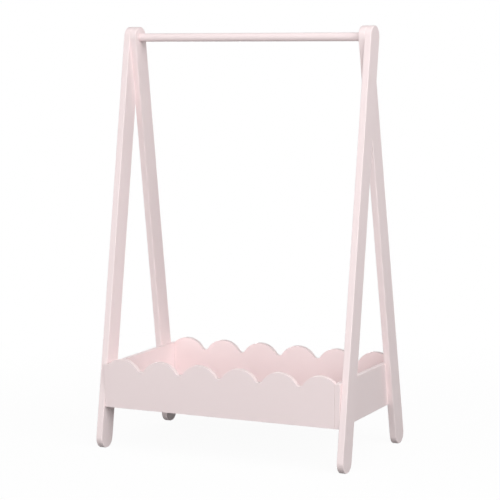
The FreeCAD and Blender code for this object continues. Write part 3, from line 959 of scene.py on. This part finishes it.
    def end_tools(self, depth: Depth) -> list[Blank]:
        """Holes in the right end panel for one corner's bolt, peg, dowels and screw.

        Args:
            depth: Front or rear.

        Returns:
            The holes.
        """
        lines = self.lines
        inner, outer, over = lines.inner_half_width, lines.half_width, lines.overcut
        thick, peg_radius = lines.panel_thickness, lines.peg_radius + lines.play
        corner = depth.value * lines.corner_line
        bolt_spot = (inner - over, lines.leg_offset(depth, lines.bolt_height), lines.bolt_height)
        floor = outer - lines.peg_panel_depth - lines.play
        peg_spot = (floor, lines.leg_offset(depth, lines.peg_height), lines.peg_height)
        bores = [(lines.bolt_hole, bolt_spot, thick + 2 * over), (peg_radius, peg_spot, thick)]
        dowel_depth = lines.dowel_end_depth + lines.play + over
        bores += [(peg_radius, (inner - over, corner, height), dowel_depth) for height in lines.dowel_heights]
        tools = [Blank().rod(*bore) for bore in bores]
        neck, mouth = lines.screw_radius + lines.play / 2, lines.screw_head_radius + lines.play / 2
        profile = [(inner - over, 0), (inner - over, neck), (outer - lines.screw_head_height, neck)]
        profile += [(outer, mouth), (outer + over, mouth), (outer + over, 0)]
        tools.append(Blank().turn(profile).place(Matrix.Translation((0, corner, lines.screw_height))))
        return tools

    def base_board(self) -> None:
        """The thin floor of the box, its edges eased."""
        wide = self.lines.inner_half_width + self.groove_depth - self.groove_play
        deep = self.groove_reach - self.groove_play
        blank = Blank().board(self.base_thickness, [(-wide, -deep), (wide, -deep), (wide, deep), (-wide, deep)])
        blank.ease(self.seam_round, lambda edge: True, 2)
        self.finish_piece("base_board", blank.place(Matrix.Translation(UP * self.base_height)), Slot.PAINT)


@dataclass
class HangingRail(SubAssembly):
    """The round rail, bored at both ends for its threaded inserts."""

    end_bevel: float = 0.8 * MM
    segments: int = 64

    def build(self) -> None:
        """Build and dress the rail."""
        lines = self.lines
        reach, radius, bevel = lines.rail_reach, lines.rail_radius, self.end_bevel
        bore = lines.insert_radius + lines.play
        floor = reach - lines.rail_insert_length - lines.play
        half = [(floor, 0), (floor, bore), (reach, bore)]
        half += [(reach, radius - bevel), (reach - bevel, radius)]
        profile = [(-along, out) for along, out in half] + half[::-1]
        board = Matrix.Translation(UP * lines.rail_height)
        blank = Blank().turn(profile, self.segments).place(board)
        self.finish_piece("hanging_rail", blank, Slot.PAINT, (), board, ROUND_SHARP)


@dataclass
class Fasteners(SubAssembly):
    """What holds the rack together, nearly all of it out of sight."""

    side: Side = Side.RIGHT
    head_radius: float = 7 * MM
    head_height: float = 3 * MM
    head_bevel: float = 1 * MM
    head_crown: tuple[tuple[float, float], ...] = ((0.0, 1.6), (0.3, 0.6), (1.0, 0.0))
    head_play: float = 0.1 * MM
    drive_radius: float = 2.3 * MM
    drive_depth: float = 2 * MM
    drive_sides: int = 6
    bolt_room: float = 2 * MM
    bolt_segments: int = 40
    thread_pitch: float = 1 * MM
    thread_depth: float = 0.5 * MM
    thread_play: float = 0.05 * MM
    insert_pitch: float = 2.5 * MM
    insert_depth: float = 0.7 * MM
    insert_slot: float = 1.2 * MM
    insert_lip: float = 0.4 * MM
    insert_segments: int = 36
    cover_thickness: float = 3 * MM
    cover_round: float = 0.3 * MM
    screw_pitch: float = 2 * MM
    screw_depth: float = 0.6 * MM
    screw_point: float = 5 * MM
    screw_drive: float = 1.8 * MM
    screw_segments: int = 32
    dowel_bevel: float = 0.8 * MM
    flutes: int = 12
    flute_points: int = 4
    flute_share: float = 0.92

    def build(self) -> None:
        """Build and dress the fasteners of one end of the rack."""
        self.rail_joint()
        for depth in Depth:
            self.leg_joint(depth)
            self.corner_joint(depth)

    def fit(self, node: str, place: Matrix, slot: Slot, blank: Blank, *tools: Blank) -> None:
        """Put a fastener in its place at this end of the rack and finish it.

        Args:
            node: The CAD node's name, without its side.
            place: From where the fastener was made to its place at the right end.
            slot: The material slot it is dressed from.
            blank: The fastener.
            tools: What is cut out of it.
        """
        for part in (blank, *tools):
            part.place(place).place(self.side.mirror)
        self.finish_piece(f"{node}_{self.side.word}", blank, slot, tools, None, ROUND_SHARP)

    @staticmethod
    def thread(start: float, end: float, crest: float, root: float, pitch: float) -> list[Stroke]:
        """The zigzag of a half profile along a threaded stretch.

        Args:
            start: Where the thread begins along the axis.
            end: Where it runs out.
            crest: Its radius at the crests.
            root: Its radius at the roots.
            pitch: About how far apart the crests are.

        Returns:
            Points from one root to the last.
        """
        turns = max(1, round(abs(end - start) / pitch))
        step = (end - start) / turns
        points = []
        for number in range(turns):
            points += [(start + number * step, root), (start + (number + 0.5) * step, crest)]
        return points + [(end, root)]

    def drive(self, radius: float) -> Blank:
        """The tool for a six-sided socket in a head at the origin."""
        return Blank().rod(radius, (-self.drive_depth, 0, 0), 2 * self.drive_depth, self.drive_sides)

    def bolt(self, length: float) -> tuple[Blank, Blank]:
        """A flat-headed bolt along X from its head's outer face.

        Args:
            length: From end to end.

        Returns:
            The bolt, and the tool for its socket.
        """
        radius, pitch = self.lines.bolt_radius, self.thread_pitch
        head, bevel, neck = self.head_radius, self.head_bevel, self.head_height
        profile = [(0, 0)] + [(drop * bevel, head - inset * bevel) for drop, inset in self.head_crown]
        profile += [(neck, head), (neck, radius), (neck + pitch, radius)]
        profile += self.thread(neck + 1.5 * pitch, length, radius, radius - self.thread_depth, pitch)
        return Blank().turn(profile + [(length, 0)], self.bolt_segments), self.drive(self.drive_radius)

    def insert(self, length: float) -> tuple[Blank, Blank]:
        """A threaded insert along X from its slotted mouth.

        Args:
            length: From end to end.

        Returns:
            The insert, and the tool for its slot.
        """
        outer, inner = self.lines.insert_radius, self.lines.bolt_radius + self.thread_play
        lip, root = self.insert_lip, outer - self.insert_depth
        profile = [(0, inner + lip), (0, outer - lip)]
        profile += self.thread(lip, length - lip, outer, root, self.insert_pitch)
        profile += [(length, root), (length, inner + lip)]
        profile += self.thread(length - lip, lip, inner, inner + self.thread_depth, self.thread_pitch)
        slot = self.insert_slot
        tool = Blank().block((-slot, -2 * outer, -slot / 2), (slot, 2 * outer, slot / 2))
        return Blank().turn(profile, self.insert_segments, True), tool

    def fluted(self, length: float) -> Blank:
        """A fluted beech dowel along X with bevelled ends.

        Args:
            length: From end to end.

        Returns:
            The dowel.
        """
        around = self.flute_points * self.flutes
        outline = []
        for place in range(around):
            radius = self.lines.peg_radius * (1 if place % self.flute_points else self.flute_share)
            angle = math.tau * place / around
            outline.append((-radius * math.sin(angle), radius * math.cos(angle)))
        blank = Blank().board(length, outline).ease(self.dowel_bevel, Blank.on_a_face, 1)
        return blank.place(Matrix.Rotation(math.pi / 2, 4, "Y"))

    def rail_joint(self) -> None:
        """The bolt through both legs into the rail, its insert and the flush cover over its head."""
        lines = self.lines
        head_x = lines.outer_face - self.cover_thickness
        head = Matrix.Translation((head_x, 0, lines.rail_height))
        bolt_end = lines.rail_reach - lines.rail_insert_length + self.bolt_room
        self.fit("rail_bolt", head @ TURNED_BACK, Slot.STEEL, *self.bolt(head_x - bolt_end))
        mouth = Matrix.Translation((lines.rail_reach, 0, lines.rail_height))
        self.fit("rail_insert", mouth @ TURNED_BACK, Slot.INSERT, *self.insert(lines.rail_insert_length))
        radius, thickness, ease = self.head_radius + self.head_play, self.cover_thickness, self.cover_round
        profile = [(0, 0), (0, radius), (thickness - ease, radius), (thickness, radius - ease), (thickness, 0)]
        self.fit("bolt_cover", head, Slot.PAINT, Blank().turn(profile))

    def leg_joint(self, depth: Depth) -> None:
        """The bolt from inside the box into a leg, its insert, and the peg above them.

        Args:
            depth: Front or rear.
        """
        lines = self.lines
        offset = lines.leg_offset(depth, lines.bolt_height)
        head = Matrix.Translation((lines.inner_half_width - self.head_height, offset, lines.bolt_height))
        grip = lines.panel_thickness + lines.insert_length - self.bolt_room
        self.fit(f"leg_bolt_{depth.word}", head, Slot.STEEL, *self.bolt(self.head_height + grip))
        mouth = Matrix.Translation((lines.half_width, offset, lines.bolt_height))
        self.fit(f"leg_insert_{depth.word}", mouth, Slot.INSERT, *self.insert(lines.insert_length))
        start = lines.half_width - lines.peg_panel_depth
        spot = Matrix.Translation((start, lines.leg_offset(depth, lines.peg_height), lines.peg_height))
        peg = self.fluted(lines.peg_panel_depth + lines.peg_leg_depth)
        self.fit(f"leg_peg_{depth.word}", spot, Slot.BEECH, peg)

    def corner_joint(self, depth: Depth) -> None:
        """The countersunk screw and the two dowels in one corner of the box.

        Args:
            depth: Front or rear.
        """
        lines = self.lines
        corner = depth.value * lines.corner_line
        radius, length, shank = lines.screw_radius, lines.screw_length, lines.panel_thickness
        root, runout = radius - self.screw_depth, length - self.screw_point
        profile = [(0, 0), (0, lines.screw_head_radius), (lines.screw_head_height, radius), (shank, radius)]
        profile += self.thread(shank, runout, radius, root, self.screw_pitch)
        screw = Blank().turn(profile + [(length, 0)], self.screw_segments)
        head = Matrix.Translation((lines.half_width, corner, lines.screw_height)) @ TURNED_BACK
        self.fit(f"corner_screw_{depth.word}", head, Slot.STEEL, screw, self.drive(self.screw_drive))
        low, high = lines.dowel_heights
        dowels = self.fluted(lines.dowel_length)
        dowels.repeat(UP * (high - low))
        start = lines.inner_half_width + lines.dowel_end_depth - lines.dowel_length
        spot = Matrix.Translation((start, corner, low))
        self.fit(f"corner_dowels_{depth.word}", spot, Slot.BEECH, dowels)


@dataclass(frozen=True)
class Lamp:
    """A soft lamp, whose panel the camera does not see."""

    name: str
    spot: Triple
    aim: Triple
    size: tuple[float, float]
    power: float

    def hang(self) -> None:
        """Put up the lamp, facing its aim."""
        light = bpy.data.lights.new(self.name, "AREA")
        light.shape = "RECTANGLE"
        light.size, light.size_y = self.size
        light.energy = self.power
        lamp = bpy.data.objects.new(self.name, light)
        lamp.location = self.spot
        lamp.visible_camera = False
        lamp.rotation_euler = (Vector(self.aim) - Vector(self.spot)).to_track_quat("-Z", "Y").to_euler()
        bpy.context.scene.collection.objects.link(lamp)


@dataclass
class Studio:
    """A plain pale floor, soft light from all round, most of it from the front, and the camera."""

    azimuth: float = 25.873
    elevation: float = 7.077
    distance: float = 4.2853
    aim_height: float = 0.47215
    aside: float = 0.61 * MM
    roll: float = -0.383
    lens: float = 129.82
    sensor: float = 36.0
    sky: float = 0.03
    floor_reach: float = 60.0
    floor_bounce: float = 0.065
    floor_glow: float = 0.95
    shadow_core: float = 0.3
    shadow_reach: float = 1.6
    lamps: tuple[Lamp, ...] = (
        Lamp("key", (2.4, -3.4, 2.0), (0, 0, 0.5), (3.6, 2.8), 75.5),
        Lamp("side", (4.0, -1.4, 2.2), (0, 0, 0.5), (3.0, 2.6), 89.0),
        Lamp("top", (0.3, -1.2, 3.8), (0, 0, 0.4), (4.0, 3.0), 53.0),
        Lamp("low_front", (1.13, -2.68, 0.55), (0, 0, 1.0), (3.2, 1.04), 11.5),
        Lamp("low_left", (-1.64, -2.66, 0.55), (0, 0, 1.0), (2.6, 1.04), 26.0),
        Lamp("left", (-3.9, 0.5, 0.7), (0, 0, 0.5), (3.0, 1.2), 36.0),
        Lamp("rear", (-1.6, 3.9, 0.3), (0, 0, 0.4), (4.4, 0.5), 110.0),
    )

    def build(self) -> None:
        """Set up everything round the rack."""
        self.world()
        self.floor()
        for lamp in self.lamps:
            lamp.hang()
        self.camera()
        bpy.context.scene.view_settings.view_transform = "Standard"

    @staticmethod
    def seen(bench: Bench) -> Tone:
        """Tell what the camera sees from what only gives light.

        Args:
            bench: The tree that asks.

        Returns:
            1 where the camera looks, directly, in a reflection or through glass, and 0 for other light.
        """
        path = bench.node("ShaderNodeLightPath")
        direct = bench.tone(path, "Is Camera Ray")
        return direct.larger(bench.tone(path, "Is Glossy Ray")).larger(bench.tone(path, "Is Transmission Ray"))

    def world(self) -> None:
        """White where it is seen, and a plain soft sky for light."""
        world = bpy.data.worlds.new("studio")
        world.use_nodes = True
        bench = Bench(world.node_tree)
        strength = self.sky + (1 - self.sky) * self.seen(bench)
        light = bench.node("ShaderNodeBackground", {}, {"Color": WHITE, "Strength": strength})
        bench.node("ShaderNodeOutputWorld", {}, {"Surface": light.outputs[0]})
        bpy.context.scene.world = world

    def floor(self) -> None:
        """A floor that is white where it is seen, keeps a shadow and throws little light back."""
        blank = Blank()
        bmesh.ops.create_grid(blank.bm, x_segments=1, y_segments=1, size=self.floor_reach)
        floor = blank.object("studio_floor")
        made = bpy.data.materials.new("studio_floor")
        made.use_nodes = True
        bench = Bench(made.node_tree)
        dull = bench.node("ShaderNodeBsdfDiffuse", {}, {"Color": opaque((self.floor_bounce,) * 3)})
        pale = bench.node("ShaderNodeBsdfDiffuse", {}, {"Color": WHITE})
        glow = bench.node("ShaderNodeEmission", {}, {"Color": WHITE, "Strength": 1.0})
        away = bench.node("ShaderNodeVectorMath", {"operation": "LENGTH"}, {0: bench.spot()})
        fade = {
            "Value": away.outputs["Value"],
            "From Min": self.shadow_core,
            "From Max": self.shadow_reach,
            "To Min": self.floor_glow,
            "To Max": 1.0,
        }
        share = bench.tone(bench.node("ShaderNodeMapRange", {"interpolation_type": "SMOOTHSTEP"}, fade))
        shown = bench.node("ShaderNodeMixShader", {}, {0: share, 1: pale.outputs[0], 2: glow.outputs[0]})
        sockets = {0: self.seen(bench), 1: dull.outputs[0], 2: shown.outputs[0]}
        both = bench.node("ShaderNodeMixShader", {}, sockets)
        bench.node("ShaderNodeOutputMaterial", {}, {"Surface": both.outputs[0]})
        floor.data.materials.append(made)

    def camera(self) -> None:
        """Set up the camera at the photograph's viewing angle."""
        lens = bpy.data.cameras.new("camera")
        lens.sensor_width = self.sensor
        lens.lens = self.lens
        camera = bpy.data.objects.new("camera", lens)
        bpy.context.scene.collection.objects.link(camera)
        turn = Matrix.Rotation(math.radians(self.azimuth), 4, "Z")
        tilt = Matrix.Rotation(math.radians(90 - self.elevation), 4, "X")
        away = Matrix.Translation((self.aside, 0, self.distance))
        roll = Matrix.Rotation(math.radians(self.roll), 4, "Z")
        camera.matrix_world = Matrix.Translation(UP * self.aim_height) @ turn @ tilt @ away @ roll
        bpy.context.scene.camera = camera


def main() -> None:
    """Build the rack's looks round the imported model."""
    logging.basicConfig(level=logging.INFO, format="%(name)s %(message)s")
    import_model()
    finishes = (SatinPaint(), ZincSteel(), TurnedBrass(), BareBeech())
    palette = {finish.slot: (finish.word, finish.material()) for finish in finishes}
    lines = Lines()
    for side in Side:
        AFrame(lines, palette, side=side).build()
    ScallopedBox(lines, palette).build()
    HangingRail(lines, palette).build()
    for side in Side:
        Fasteners(lines, palette, side=side).build()
    Studio().build()


if __name__ == "__main__":
    main()
